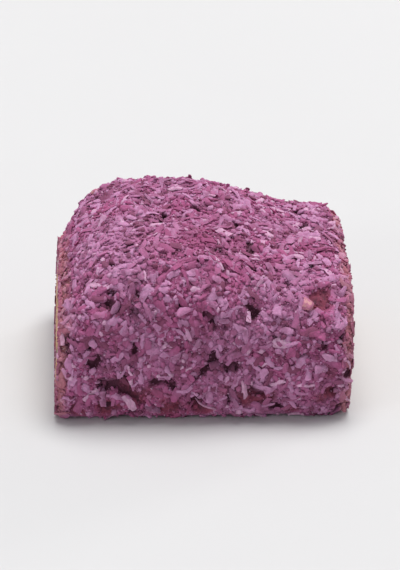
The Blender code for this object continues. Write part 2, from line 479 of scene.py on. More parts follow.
HEIGHT_MM = -SUNK_MM + CLUMP_MM * CLUMP + KNOT_MM * KNOTS + GRAIN_MM * GRAIN - PIT_MM * PITS
HEIGHT_MM -= EDGE_MM * EDGE + BARE_MM * BARE
HEIGHT_MM += BASE * (BASE_GRAIN_MM * GRAIN - BASE_SUNK_MM - BASE_PIT_MM * PITS - HEIGHT_MM)
LOFT = step(ABOVE_BASE, 0.6, 1.6) * (0.9 + 0.5 * CLUMP)
COVER = np.clip(LOFT * (1 - 0.7 * PITTED) * (1 - 0.5 * EDGE) * (1 - 0.9 * BARE), 0, 1)
COVER = np.maximum(COVER, BASE_COVER * BASE)
DUST = step(ABOVE_BASE, 0.3, 1.0) * (1 - 0.35 * PITTED) * (1 - 0.75 * BARE)
print(f"relief {HEIGHT_MM.min():.2f} to {HEIGHT_MM.max():.2f} mm, cover {COVER.mean():.2f}")

# %% [markdown]
# ## The crumb coat
#
# The coat is a sleeve. Its outside carries the relief. At each cut it turns in over the edge, as a
# ragged lip that stands a little proud of the cut, and its hidden inside runs back through the
# jelly to close the form. A solid block with a bumpy material would look alike from far away, but
# its edge would be a clean line.

# %% The sleeve
LIP_ROUND_MM, LIP_DROP_MM = 0.6, 0.22  # how far from the cut the coat turns in, and how much
LIP_DEPTHS_MM = (0.55, 0.75, 0.95, 1.15, 1.4)  # rings of the coat's own cut edge, in from the skin
LIP_SINKS_MM = (-0.04, -0.18, -0.20, -0.05, 0.6)  # how far each ring lies below the cut
WALL_MM = 1.7  # from the skin to the hidden inside
INSIDE_RINGS, INSIDE_END = 5, 0.03  # its rings, and the share of the bar where it stops
COAT_PAST_MM, TABLE_GAP_MM = 0.06, 0.015  # how far the coat may pass a cut, and how low it goes
CUT_ROWS = {"left": 0, "right": -1}  # the chart's row at each cut


def on_table(points):
    """Keeps points on or above the table, where the weight of the bite presses crumb flat."""
    points[..., 2] = np.maximum(points[..., 2], TABLE_GAP_MM * MM * (1 + lumps(points, 1.2)))
    return points


def within_cuts(points, slack_mm):
    """Keeps points between the two knife cuts."""
    y, z, slack = points[..., 1], points[..., 2], slack_mm * MM
    points[..., 0] = np.clip(points[..., 0], cut_x("left", y, z) - slack, cut_x("right", y, z) + slack)
    return points


def coat_outside():
    turn = 1 - np.clip(FROM_CUT / LIP_ROUND_MM, 0, 1)
    rounded = LIP_DROP_MM * (1 - np.sqrt(1 - turn * turn))
    outside = SMOOTH + NORMALS * ((HEIGHT_MM - rounded) * MM)[..., None]
    return on_table(within_cuts(outside, COAT_PAST_MM))


def lip(end, depth_mm, sink_mm):
    """A ring on the cut face, depth_mm inside the skin and sink_mm below the cut."""
    row = CUT_ROWS[end]
    uneven = 1 + 0.22 * lumps(SMOOTH[row], 2.0, 5.0) + 0.14 * lumps(SMOOTH[row], 0.7, 15.0)
    ring = tube_points(SHARES[row], THETA, SKIN[row] - depth_mm * MM * uneven)
    crumbly = 0.14 * lumps(ring, 0.8, 12.0) + 0.08 * lumps(ring, 0.4, 3.0)
    ring[:, 0] += SIDES[end] * (crumbly - sink_mm) * MM
    return on_table(ring)


def lips(end):
    """The coat's cut edge, from the outside inwards."""
    return np.array([lip(end, depth, sink) for depth, sink in zip(LIP_DEPTHS_MM, LIP_SINKS_MM)])


def hidden_inside():
    """The sleeve's inner wall, sunk well into the jelly, from the right cut back to the left."""
    stations = np.linspace(1 - INSIDE_END, INSIDE_END, INSIDE_RINGS)
    shares, angles = np.meshgrid(stations, THETA, indexing="ij")
    return tube_points(shares, angles, skin_at(shares, angles) - WALL_MM * MM)


OUTSIDE = coat_outside()
COAT_RINGS = np.concatenate([lips("left")[::-1], OUTSIDE, lips("right"), hidden_inside()])
coat = outward(ring_mesh("crumb_coat", COAT_RINGS, closed=True))

# %% What the coat tells its finish and its loose crumb
LIPS = len(LIP_DEPTHS_MM)
COAT_NOTES = {  # each chart, and its values on the lips and on the hidden inside
    "relief": (HEIGHT_MM, -0.30, -1.0),
    "pit": (PITTED * (1 - 0.6 * BASE), 0.25, 0.0),
    "edge": (EDGE, 0.6, 0.0),
    "bare": (BARE * (1 - 0.7 * BASE), 0.0, 0.0),
    "rosy": (ROSY, 0.0, 0.0),
    "pale": (PALE, 0.0, 0.0),
    "cover": (COVER, 0.35, 0.0),
    "dust": (DUST, 0.7, 0.0),
}
for name, (chart, at_lip, inside) in COAT_NOTES.items():
    values = np.full(COAT_RINGS.shape[:2], inside)
    values[: 2 * LIPS + ALONG] = at_lip
    values[LIPS : LIPS + ALONG] = chart
    note(coat, name, values)
print(f"{len(COAT_NOTES)} notes on {len(coat.data.polygons)} faces")

# %% [markdown]
# ## The finish of the coat
#
# The crumb is dry and dull, and its mauve is never even. High grains are paler and greyer, a painted
# highlight. Pits go to plum: painted shade, because light hardly gets in, and the moist jelly's stain
# there. The thin coat at a cut turns salmon. On the bare patches the dye has seeped into the jelly,
# so they are mottled brown-red and not quite as dull.

# %% Mauve crumb
PLUM = (0.070, 0.011, 0.032)
DEEP_MAUVE = (0.165, 0.036, 0.085)
DEEP_ROSE = (0.300, 0.052, 0.155)
ROSY_MAUVE = (0.390, 0.086, 0.222)
MAUVE = (0.370, 0.116, 0.252)
GREY_MAUVE = (0.545, 0.245, 0.445)
SALMON = (0.480, 0.185, 0.165)
MAROON = (0.300, 0.045, 0.095)
SUGAR_PINK = (0.680, 0.380, 0.560)


def crumb_colour(finish, tint):
    """The coat's colour at a place, grey mauve by tint, with plum in the pits as painted shade and stain.
    """
    return finish.layers(
        ROSY_MAUVE,
        (finish.noise(6.5).ramp(0.40, 0.62), MAUVE),
        (tint, GREY_MAUVE),
        (finish.attribute("pale") * 0.55, GREY_MAUVE),
        (finish.noise(2.6, 3.0, 0.6).ramp(0.54, 0.67) * 0.5, DEEP_MAUVE),
        (finish.attribute("rosy") * 0.7, DEEP_ROSE),
        (finish.attribute("edge") * 0.6, SALMON),
        # plum in the pits: painted shade, and the moist jelly's stain
        (finish.attribute("pit") * 0.8, PLUM),
        (finish.attribute("bare") * 0.85, MAROON),
    )


crumb = Finish("mauve_crumb", Subsurface_Weight=0.12, Subsurface_Scale=1.2 * MM,
               Subsurface_Radius=(1.0, 0.35, 0.6))
height = crumb.frayed("relief", 0.3, 0.5)
seeping = crumb.attribute("bare") * crumb.noise(0.9, 3.0, 0.6).ramp(0.36, 0.60)
speck = crumb.noise(0.24, 1.0).ramp(0.60, 0.68) * height.ramp(-0.6, -0.2)
crumb.drive("Base Color", crumb.layers(
    PLUM,
    # plum low in the relief is painted shade and stain; grey mauve high in it is a painted highlight
    (height.ramp(-0.75, -0.2), crumb_colour(crumb, height.ramp(-0.35, 0.15) * 0.6)),
    (seeping * 0.7, MAROON),
    (speck * 0.5, SUGAR_PINK),
))
crumb.drive("Roughness", 0.92 - 0.12 * crumb.attribute("bare"))
crumb.bump(crumb.noise(0.28, 3.0, 0.6), 0.12)
settle(coat, crumb, "coat")

# %% [markdown]
# ## Loose flakes, shreds and crumbs
#
# On top of the pressed coat lie the crumb's own pieces: thin angular flakes, a few long shreds,
# chunky crumbs and fine grit. Placing thousands by hand is hopeless, and a particle system would be
# lost on export. So a Geometry Nodes tree scatters a few pieces, shaped one by one, over the coat,
# turns each one to lie on the surface, gives it a tone of its own, and makes the result real geometry.

# %% Pieces shaped one by one
def long_piece(name, rng, sides, stations, wide, thick, bend):
    """A flake or a shred one unit long: a few rings along it, each a flattened polygon."""
    along = np.linspace(-0.47, 0.47, stations)[:, None]
    taper = np.sqrt(1 - (1.7 * along) ** 2 * 0.8) * rng.uniform(0.72, 1.25, (stations, 1))
    angle = circle(sides) + rng.uniform(0, 1)
    uneven = rng.uniform(0.8, 1.2, (stations, sides))
    sideways = bend * (4 * along**2 - 0.5) + 0.04 * rng.standard_normal((stations, 1))
    upwards = rng.uniform(-0.10, 0.14) * (4 * along**2 - 0.5)
    x = along + 0.035 * rng.standard_normal((stations, sides))
    y = taper * wide * np.cos(angle) * uneven + sideways
    z = taper * thick * np.sin(angle) * uneven + upwards
    points = np.stack([x, y, z], -1)
    ends = points[0].mean(0) - (0.05, 0, 0), points[-1].mean(0) + (0.05, 0, 0)
    piece = outward(ring_mesh(name, points, poles=ends))
    piece.data.set_sharp_from_angle(angle=math.radians(50))
    return piece


def round_piece(name, rng, uneven):
    """A crumb one unit long, with knocked corners."""
    bm = bmesh.new()
    bmesh.ops.create_icosphere(bm, subdivisions=1, radius=0.5)
    shape = Vector((1.0, rng.uniform(0.6, 0.95), rng.uniform(0.5, 0.8)))
    for vert in bm.verts:
        vert.co *= shape * rng.uniform(1 - uneven, 1 + uneven)
    return bmesh_piece(name, bm)


# %% A shelf of shapes for each kind
UNEVEN = {"crumb": 0.32, "grit": 0.40}  # how far a corner may be knocked in or out
LONG = {  # sides and stations, then half its width, half its thickness and its bend, as ranges
    "flake": (6, 4, (0.17, 0.30), (0.06, 0.11), (-0.06, 0.06)),
    "shred": (5, 5, (0.09, 0.13), (0.05, 0.08), (-0.15, 0.15)),
}
SHAPES_EACH = 8


def piece_of(kind, number):
    """One piece of a kind, from its own seed."""
    rng = np.random.default_rng([len(kind), ord(kind[0]), number])
    name = f"{kind}_shape_{number}"
    if kind in UNEVEN:
        return round_piece(name, rng, UNEVEN[kind])
    sides, stations, *ranges = LONG[kind]
    return long_piece(name, rng, sides, stations, *(rng.uniform(*span) for span in ranges))


def shelf_of(kind):
    """A collection of shapes for one kind of piece."""
    shelf = bpy.data.collections.new(kind)
    for number in range(SHAPES_EACH):
        made = piece_of(kind, number)
        bpy.context.collection.objects.unlink(made)
        shelf.objects.link(made)
    return shelf


SHAPES = {kind: shelf_of(kind) for kind in ("flake", "shred", "crumb", "grit")}

# %% A Geometry Nodes tree
class Tree:
    """A Geometry Nodes tree."""

    def __init__(self, name):
        self.group = bpy.data.node_groups.new(name, "GeometryNodeTree")
        self.entry = self.group.nodes.new("NodeGroupInput")

    def socket(self, name, kind, value=None, direction="INPUT"):
        made = self.group.interface.new_socket(name, in_out=direction, socket_type=f"NodeSocket{kind}")
        if value is not None:
            made.default_value = value
        return made.identifier

    def node(self, kind, settings, inputs, output=0):
        return add_node(self.group, kind, settings, inputs, output)

    def keep(self, geometry, name, kind, value):
        """Keeps a number on each placed shape."""
        return self.node("GeometryNodeStoreNamedAttribute", {"data_type": kind, "domain": "INSTANCE"},
                         {"Geometry": geometry, "Name": name, "Value": value})

    def random(self, low, high, seed, kind="FLOAT"):
        """A random value for each point. Each kind has sockets of its own for its range and result."""
        low_key, high_key, output = {"FLOAT": (2, 3, 1), "FLOAT_VECTOR": (0, 1, 0), "INT": (4, 5, 2)}[kind]
        inputs = {low_key: low, high_key: high, "Seed": seed}
        return self.node("FunctionNodeRandomValue", {"data_type": kind}, inputs, output)


# %% The scattering tree
def scatter_tree():
    """Points on a surface, a random shape on each, lying on the surface, and made real."""
    tree = Tree("scatter_crumb")
    inputs = (
        ("Surface", "Geometry", None), ("Shapes", "Collection", None), ("Finish", "Material", None),
        ("Cover", "String", None),  # the name of the note that says how thickly crumb lies
        ("Density", "Float", 1.0e6),  # pieces per square metre, where cover is 1
        ("Spacing", "Float", 0.5 * MM), ("Smallest", "Float", 1.0 * MM), ("Largest", "Float", 2.0 * MM),
        ("Tilt", "Float", 0.3), ("Lift", "Float", 0.0), ("Seed", "Int", 1),
    )
    ids = {name.lower(): tree.socket(name, kind, value) for name, kind, value in inputs}
    tree.socket("Crumb", "Geometry", direction="OUTPUT")
    entry = tree.entry.outputs
    cover = tree.node("GeometryNodeInputNamedAttribute", {"data_type": "FLOAT"},
                      {"Name": entry["Cover"]})
    points = tree.node("GeometryNodeDistributePointsOnFaces", {"distribute_method": "POISSON"},
                       {"Mesh": entry["Surface"], "Distance Min": entry["Spacing"],
                        "Density Max": entry["Density"],
                        "Density Factor": cover, "Seed": entry["Seed"]})
    normal = points.node.outputs["Normal"]
    up = tree.node("ShaderNodeVectorMath", {"operation": "SCALE"}, {0: normal, "Scale": entry["Lift"]})
    raised = tree.node("GeometryNodeSetPosition", {}, {"Geometry": points, "Offset": up})
    shelf = tree.node("GeometryNodeCollectionInfo", {}, {0: entry["Shapes"], 1: True, 2: True})
    lying = tree.node("FunctionNodeAlignRotationToVector", {"axis": "Z"}, {"Vector": normal})
    lean = tree.random((-1.0, -1.0, 0.0), (1.0, 1.0, 0.0), 3, "FLOAT_VECTOR")
    lean = tree.node("ShaderNodeVectorMath", {"operation": "SCALE"}, {0: lean, "Scale": entry["Tilt"]})
    spin = tree.random((0.0, 0.0, 0.0), (0.0, 0.0, 2 * math.pi), 4, "FLOAT_VECTOR")
    turn = tree.node("ShaderNodeVectorMath", {"operation": "ADD"}, {0: lean, 1: spin})
    turned = tree.node("FunctionNodeRotateRotation", {"rotation_space": "LOCAL"},
                       {0: lying, 1: tree.node("FunctionNodeEulerToRotation", {}, {0: turn})})
    placed = tree.node("GeometryNodeInstanceOnPoints", {},
                       {"Points": raised, "Instance": shelf, "Pick Instance": True,
                        "Instance Index": tree.random(0, 99, 5, "INT"), "Rotation": turned,
                        "Scale": tree.random(entry["Smallest"], entry["Largest"], 6)})
    toned = tree.keep(placed, "tone", "FLOAT", tree.random(0.0, 1.0, 7))
    numbered = tree.keep(toned, "piece", "INT", tree.node("GeometryNodeInputIndex", {}, {}))
    real = tree.node("GeometryNodeRealizeInstances", {}, {0: numbered})
    finished = tree.node("GeometryNodeSetMaterial", {}, {"Geometry": real, "Material": entry["Finish"]})
    tree.group.links.new(finished, tree.group.nodes.new("NodeGroupOutput").inputs[0])
    return tree.group, ids


SCATTER, SCATTER_IDS = scatter_tree()


# %% Running the tree
def read(items, label, kind=int, width=1):
    """One property of all of a mesh's items, as an array."""
    values = np.zeros(len(items) * width, kind)
    items.foreach_get(label, values)
    return values


def map_by_piece(mesh):
    """A UV map that gives every loose piece a cell of its own, so that a baked tone stays clean."""
    piece = read(mesh.attributes["piece"].data, "value")[read(mesh.loops, "vertex_index")]
    starts, totals = read(mesh.polygons, "loop_start"), read(mesh.polygons, "loop_total")
    turn = (np.arange(len(piece)) - np.repeat(starts, totals)) / np.repeat(totals, totals)
    side = math.ceil(math.sqrt(piece.max() + 1))
    corner = 0.5 + 0.3 * np.stack([np.cos(2 * math.pi * turn), np.sin(2 * math.pi * turn)], -1)
    cells = (np.stack([piece % side, piece // side], -1) + corner) / side
    mesh.uv_layers.new(name="OFBake").data.foreach_set("uv", cells.ravel())


PAST_CUT_MM, OFF_TABLE_MM = 0.3, 0.02  # how far loose crumb may pass a cut, and its least height


def scattered(name, surface, kind, finish, **settings):
    """One piece made of everything that the tree scatters over a surface."""
    holder = linked(name + "_holder", surface.data)
    modifier = holder.modifiers.new("scatter", "NODES")
    modifier.node_group = SCATTER
    settings |= {"shapes": SHAPES[kind], "finish": finish.material}
    for key, value in settings.items():
        modifier[SCATTER_IDS[key]] = value
    graph = bpy.context.evaluated_depsgraph_get()
    mesh = bpy.data.meshes.new_from_object(holder.evaluated_get(graph), depsgraph=graph)
    bpy.data.objects.remove(holder)
    mesh.name = name
    points = within_cuts(read(mesh.vertices, "co", float, 3).reshape(-1, 3), PAST_CUT_MM)
    points[:, 2] = np.maximum(points[:, 2], OFF_TABLE_MM * MM)
    mesh.vertices.foreach_set("co", points.ravel())
    map_by_piece(mesh)
    settle(linked(name, mesh), finish, "coat")


# %% [markdown]
# ## The finish of the loose crumb
#
# The pieces come in every tone from plum to sugar pink. Each carries a random tone number from the
# tree, and the coat's own numbers where it lies, so pieces in a pit get its painted shade and stain too.

# %% Toned crumb
def toned(name, plum, pale, sugar, roughness):
    """Crumb that turns from plum through mauve and grey mauve to sugar pink at these tones."""
    finish = Finish(name, Subsurface_Weight=0.15, Subsurface_Scale=0.8 * MM,
                    Subsurface_Radius=(1.0, 0.4, 0.6))
    tone = finish.attribute("tone")
    finish.drive("Base Color", finish.layers(
        crumb_colour(finish, tone.ramp(pale - 0.3, pale + 0.15)),
        (tone.ramp(plum + 0.06, plum - 0.06) * 0.8, DEEP_MAUVE),
        (tone.ramp(sugar - 0.02, sugar + 0.02) * 0.8, SUGAR_PINK),
        (finish.noise(0.5).ramp(0.35, 0.65) * 0.25, DEEP_MAUVE),
    ))
    finish.drive("Roughness", roughness + 0.1 * finish.noise(0.8))
    finish.bump(finish.noise(0.22, 3.0, 0.65), 0.10)
    return finish


flake_finish = toned("mauve_flakes", 0.10, 0.64, 0.95, 0.78)
shred_finish = toned("mauve_shreds", 0.10, 0.56, 0.92, 0.75)
crumb_finish = toned("mauve_crumbs", 0.18, 0.74, 0.96, 0.85)
grit_finish = toned("mauve_grit", 0.25, 0.76, 0.95, 0.85)

# %% Flakes, shreds, crumbs and grit over the coat
scattered("crumb_flakes", coat, "flake", flake_finish, cover="cover", density=1.6e6,
          spacing=0.62 * MM, smallest=0.9 * MM, largest=2.3 * MM, tilt=0.30, lift=0.06 * MM, seed=11)
scattered("crumb_shreds", coat, "shred", shred_finish, cover="cover", density=0.35e6,
          spacing=0.9 * MM, smallest=1.5 * MM, largest=2.8 * MM, tilt=0.18, lift=0.10 * MM, seed=14)
scattered("crumb_pieces", coat, "crumb", crumb_finish, cover="cover", density=3.0e6,
          spacing=0.5 * MM, smallest=0.4 * MM, largest=1.05 * MM, tilt=0.8, lift=0.04 * MM, seed=12)
scattered("crumb_grit", coat, "grit", grit_finish, cover="dust", density=7.0e6,
          spacing=0.3 * MM, smallest=0.2 * MM, largest=0.42 * MM, tilt=1.5, lift=0.05 * MM, seed=13)

# %% [markdown]
# ## Kernels on the cuts
#
# The knife went through kernels. Each shows a flat waxy face, a thin brown skin, and often the slot
# between its two halves. The fixed model says where each outline lies. Rings carry that outline
# back over the kernel's own egg shape, and inwards over its cut face, where the slot is cut in as
# real depth. A small wobble takes the perfect oval away, since no two kernels grow alike.

# %% Distances across a cut
def distance_to(points, places):
    """How far each point lies from the nearest of some places across the cut, in millimetres."""
    gaps = points[:, None, 1:] - places[None, :, 1:]
    return np.sqrt((gaps**2).sum(-1)).min(1) / MM


# %% A kernel's outline and its hidden body
KERNEL_ANGLES = circle(132)
BACK_SHARES = (0.97, 0.9, 0.78, 0.62, 0.45, 0.3, 0.16, 0.07, 0.02)  # 1 is the deepest point
FACE_SHARES = np.concatenate([[1.0, 0.992, 0.978], np.linspace(0.955, 0.04, 28)])  # 1 is the rim
RING_BLUR = 45  # rounds of softening
SAME_MM, SAME_PLACES = 0.02, 7  # how near two corners count as level, and as one, in decimals


def kernel_ends(node, end):
    """The middle of a kernel's cut face, and the deepest point behind it."""
    points = np.array([vertex.co for vertex in frame["nodes"][node].data.vertices])
    depth = SIDES[end] * (cut_x(end, points[:, 1], points[:, 2]) - points[:, 0])
    rim = np.unique(np.round(points[depth < depth.min() + SAME_MM * MM], SAME_PLACES), axis=0)
    return rim.mean(0), points[depth.argmax()]


def kernel_back(node, end, middle, deep):
    """Rings over the hidden part of a kernel, from its deepest point to just behind the cut."""
    egg, rings = tree_of(node), []
    for share in BACK_SHARES:
        core, ring = middle + (deep - middle) * share, []
        for angle in KERNEL_ANGLES:
            y, z = math.cos(angle), math.sin(angle)
            slope = CUTS[end][1] * y + CUTS[end][2] * z
            hit = egg.ray_cast(Vector(core), Vector((slope, y, z)).normalized())[0]
            ring.append(np.array(hit) if hit else core)
        ring = np.array(ring)
        for _ in range(RING_BLUR):
            ring = (np.roll(ring, 1, 0) + 2 * ring + np.roll(ring, -1, 0)) / 4
        rings.append(ring)
    return np.array(rings)


# %% The cut face of a kernel
SLOTS_MM = (0.0, 0.03, 0.16, 0.0, 0.06)  # half the width of each kernel's slot, in turn
SLOT_WALL_MM, SLOT_DEEP_MM = 0.11, 0.38


def slot_shares(ring, middle, reach, wide_mm, rng):
    """How deep each point lies in the slot between a kernel's halves: 0 outside and 1 at its bottom."""
    long_way, short_way = np.linalg.svd(reach, full_matrices=False)[2][:2]
    turn = rng.uniform(-0.4, 0.4)
    long_mm = np.linalg.norm(reach, axis=1).max() / MM * rng.uniform(0.4, 0.9)
    bow, shift = rng.uniform(-0.06, 0.06), rng.uniform(-0.3, 0.3)
    along = (ring - middle) @ (long_way * math.cos(turn) + short_way * math.sin(turn)) / MM
    across = (ring - middle) @ (short_way * math.cos(turn) - long_way * math.sin(turn)) / MM
    across += 0.12 * lumps(ring, 1.2, 31.0) - shift - bow * along**2
    left = np.clip(1 - (along / long_mm) ** 2, 0, 1)
    half = wide_mm * left**1.5
    inside = 1 - step(np.abs(across), half, half + SLOT_WALL_MM)
    return inside * step(left, 0.0, 0.25) * (wide_mm > 0)


def kernel_face(middle, reach, side, wide_mm, rng):
    """Rings over the cut face, how far each point is from the rim, and how deep in the slot."""
    radii = np.linalg.norm(reach, axis=1) / MM
    rings = middle + reach * FACE_SHARES[:, None, None]
    from_rim = (1 - FACE_SHARES)[:, None] * radii
    slots = slot_shares(rings, middle, reach, wide_mm, rng)
    wavy = 0.10 * lumps(rings, 2.4, 3.0) + 0.06 * lumps(rings, 0.8, 9.0)
    worn = 0.16 + 0.10 * lumps(rings, 1.6, 17.0)
    rounded = worn * (1 - step(from_rim, 0.0, 0.30))
    lift = wavy + 0.04 + 0.06 * step(from_rim, 0.1, 1.2) - rounded - SLOT_DEEP_MM * slots
    rings[..., 0] += side * lift * MM
    return rings, from_rim, slots


# %% A whole kernel
MOST_WOBBLE = 1.05  # a kernel grows this much past its model outline at most
KERNEL_SEED = 40


def wobble(rng):
    """A kernel's outline as a share of its model's, round the kernel."""
    share = np.ones(len(KERNEL_ANGLES))
    for waves in (2, 3, 4, 5):
        share += rng.uniform(0.01, 0.035) * np.cos(waves * KERNEL_ANGLES + rng.uniform(0, 6))
    return np.minimum(share, MOST_WOBBLE)


def make_kernel(node, end):
    """A whole kernel, and its outline on the cut for the jelly to meet."""
    number = KERNELS.index(node)
    rng = np.random.default_rng(number + KERNEL_SEED)
    middle, deep = kernel_ends(node, end)
    *back, last = kernel_back(node, end, middle, deep)
    middle = last.mean(0) + (middle - deep) / np.linalg.norm(middle - deep) * SAME_MM * MM
    reach = (last - last.mean(0)) * wobble(rng)[:, None]
    slot_mm = SLOTS_MM[number % len(SLOTS_MM)]
    face, from_rim, slots = kernel_face(middle, reach, SIDES[end], slot_mm, rng)
    rings = np.concatenate([back, face])
    nut = outward(ring_mesh(node.replace("kernel", "nut"), rings, poles=(deep, middle)))
    hidden = np.zeros((len(back), len(KERNEL_ANGLES)))
    deepest = (1 - FACE_SHARES[-1]) * np.linalg.norm(reach, axis=1).mean() / MM
    places = np.concatenate([rings.reshape(-1, 3), [deep, middle]])
    note(nut, "from_rim", np.append(np.concatenate([hidden, from_rim]), [0.0, deepest]))
    note(nut, "slot", np.append(np.concatenate([hidden, slots]), [0.0, slots[-1].mean()]))
    note(nut, "age", np.full(len(places), rng.uniform(0, 1)))
    note(nut, "from_coat", distance_to(places, OUTSIDE[CUT_ROWS[end]]))
    return nut, middle + reach


# %% [markdown]
# ## The finish of the kernels
#
# Distance from the rim and depth in the slot were kept on the mesh, so the finish is a formula of
# those: a thin brown skin that is broken here and there, a darker band under it, creamy flesh with
# fine fibres and a few pores, and a tan slot. One number for each kernel makes some of them older
# and browner. Near the coat the knife dragged some crumb dust over them.

# %% Waxy nut
NUT_TAN = (0.460, 0.225, 0.108)
NUT_CREAM = (0.660, 0.405, 0.250)
NUT_OLD = (0.300, 0.160, 0.058)
NUT_SKIN = (0.085, 0.030, 0.020)
SLOT_TAN = (0.215, 0.105, 0.050)
DUSTY_ROSE = (0.400, 0.150, 0.190)  # crumb dust that the knife dragged over the cut

waxy = Finish("sliced_nut", Specular_IOR_Level=0.35, Subsurface_Weight=0.25,
              Subsurface_Scale=1.5 * MM, Subsurface_Radius=(1.0, 0.6, 0.3))
rim_mm = waxy.frayed("from_rim", 0.3, 0.8)
fibres = waxy.noise(0.6, 4.0, 0.65, waxy.stretched(1.0, 0.4, 1.0))
pores = waxy.noise(0.28).ramp(0.64, 0.74) * 0.35
creamy = (0.55 * waxy.noise(2.2, 3.0) + 0.45 * fibres).ramp(0.36, 0.64)
aged = waxy.attribute("age").ramp(0.35, 1.0) * waxy.noise(3.0).ramp(0.25, 0.7)
waxy.drive("Base Color", waxy.layers(
    NUT_TAN,
    (creamy, NUT_CREAM),
    (aged * 0.7, NUT_OLD),
    (rim_mm.ramp(0.75, 0.05) * 0.55, NUT_OLD),
    (waxy.attribute("slot") * 0.85, SLOT_TAN),
    (rim_mm.ramp(0.17, 0.08) * waxy.noise(1.9).ramp(0.47, 0.56), NUT_SKIN),
    (waxy.frayed("from_coat", 1.8, 1.3, 3.0, 0.6).ramp(3.0, 1.2) * 0.5, DUSTY_ROSE),
    (pores, NUT_OLD),
))
waxy.drive("Roughness", 0.45 + 0.4 * fibres)
waxy.bump(fibres - 0.5 * pores, 0.12)

# %% All the kernels
OUTLINES = {"left": [], "right": []}
for node in KERNELS:
    end = "left" if "left" in node else "right"
    nut, outline = make_kernel(node, end)
    settle(nut, waxy, "kernel", node)
    OUTLINES[end].append(outline)

# %% [markdown]
# ## The jelly
#
# The jelly is the whole inside: a tube just under the coat, closed by the two cut faces. The knife
# left those faces slightly wavy, with small open bubbles. The jelly sinks into a crease round each
# kernel and swells between them. That is shaped on fine rings from the rim of each face inwards.

# %% The cut faces
JELLY_AROUND, JELLY_FACE_RINGS, JELLY_ALONG = 420, 64, 36
JELLY_INSET_MM, JELLY_DEEPER_MM = 0.95, 0.8  # below the skin at a cut, and further down between them
BUBBLES, BUBBLE_MM, BUBBLE_DEEP_MM = 34, 0.26, 0.24
CREASE_MM, UNDER_NUT_MM = 0.28, 0.5  # how wide a crease is, and how far jelly lies under a kernel
JELLY_LOW_MM = 0.12  # its least height over the table, so that the coat hides its base
FAR_MM = 9.0  # what stands for nowhere near a kernel
MIDDLE_EDGE_MM, MIDDLE_NUT_MM = 8.0, 4.0  # what the middle point of a cut face keeps


def jelly_rim(share):
    """The jelly's outline at a share of the way along. It lies deeper away from the cuts."""
    angles = circle(JELLY_AROUND)
    inset = JELLY_INSET_MM + JELLY_DEEPER_MM * step(min(share, 1 - share), 0.01, 0.06)
    return angles, skin_at(np.full(JELLY_AROUND, share), angles) - inset * MM


def under_nuts(points, outlines):
    """How far inside a kernel's outline each point lies, in millimetres, and 0 outside them all."""
    deepest = np.zeros(len(points))
    for outline in outlines:
        middle = outline.mean(0)
        gap, reach = points[:, 1:] - middle[1:], outline[:, 1:] - middle[1:]
        turns, radii = np.arctan2(reach[:, 1], reach[:, 0]), np.linalg.norm(reach, axis=1)
        order = np.argsort(turns)
        limit = np.interp(np.arctan2(gap[:, 1], gap[:, 0]), turns[order], radii[order], period=2 * math.pi)
        deepest = np.maximum(deepest, (limit - np.linalg.norm(gap, axis=1)) / MM)
    return deepest


def jelly_face(end):
    """Rings over a cut face from its rim to near its middle, with their distances."""
    share, side = (0.0 if end == "left" else 1.0), SIDES[end]
    rng = np.random.default_rng(side + 5)
    angles, rim = jelly_rim(share)
    outline = np.concatenate(OUTLINES[end])
    spots = rng.uniform(0, 1, (BUBBLES, 2)) * (1, 2 * math.pi)
    bubbles = np.array([tube_points(share, a, r**0.5 * 0.92 * rim.mean()) for r, a in spots])
    rings, edge, near_nut = [], [], []
    for inner in np.linspace(1.0, 0.015, JELLY_FACE_RINGS):
        ring = tube_points(share, angles, rim * inner)
        near = distance_to(ring, outline)
        from_edge = rim * (1 - inner) / MM
        wave = 0.14 * lumps(ring, 6.0, 2.0) + 0.10 * lumps(ring, 2.0, 8.0) + 0.04 * lumps(ring, 0.8)
        open_mm = 0.16 + 0.22 * lumps(ring, 2.2, 19.0)
        crease = open_mm * np.exp(-((near / CREASE_MM) ** 2)) - 0.10 * np.exp(-(((near - 0.9) / 0.5) ** 2))
        crease += UNDER_NUT_MM * step(under_nuts(ring, OUTLINES[end]), 0.0, 0.5)
        bubble = BUBBLE_DEEP_MM * np.exp(-((distance_to(ring, bubbles) / BUBBLE_MM) ** 2))
        rounded = 0.2 * (1 - step(from_edge, 0.0, 0.35))
        ring[:, 0] += side * (wave - crease - rounded - bubble) * MM
        rings.append(ring)
        edge.append(from_edge)
        near_nut.append(near)
    return np.array(rings), np.array(edge), np.array(near_nut)


# %% The whole jelly
def make_jelly():
    left, right = jelly_face("left"), jelly_face("right")
    shares = np.linspace(0.01, 0.99, JELLY_ALONG)
    tube = np.array([tube_points(share, *jelly_rim(share)) for share in shares])
    between = tube, np.zeros(tube.shape[:2]), np.full(tube.shape[:2], FAR_MM)
    rings, edge, near = (np.concatenate([a[::-1], b, c]) for a, b, c in zip(left, between, right))
    rings[..., 2] = np.maximum(rings[..., 2], JELLY_LOW_MM * MM)
    jelly = ring_mesh("jelly", rings, poles=(left[0][-1].mean(0), right[0][-1].mean(0)))
    note(jelly, "from_edge", np.append(edge, [MIDDLE_EDGE_MM] * 2))
    note(jelly, "from_nut", np.append(near, [MIDDLE_NUT_MM] * 2))
    near_coat = 0.01 + 0.6 * (1 - step(edge, 0.2, 1.5))
    swept = step(lumps(rings, 3.0, 50.0), -0.1, 0.3)
    stray = step(edge, 0.05, 0.3) * near_coat * swept * step(near, 0.0, 0.4)
    note(jelly, "stray", np.append(stray, [0.0, 0.0]))
    return outward(jelly)


# %% [markdown]
# ## The finish of the jelly
#
# Cooked starch jelly is cloudy, brown amber, with a moist shine. Light spreads inside it, so it has
# subsurface scattering that lets red travel furthest. A wide, soft bump breaks the shine into small
# glints. Close to the coat the dye has crept in and the knife dragged crumb dust over the jelly, and
# round a kernel its hidden side shows through as a paler cloud.

# %% Cloudy amber jelly
AMBER = (0.135, 0.028, 0.003)
CLOUDY_AMBER = (0.280, 0.078, 0.008)
NUT_CLOUD = (0.350, 0.150, 0.036)
DYED = (0.120, 0.014, 0.016)

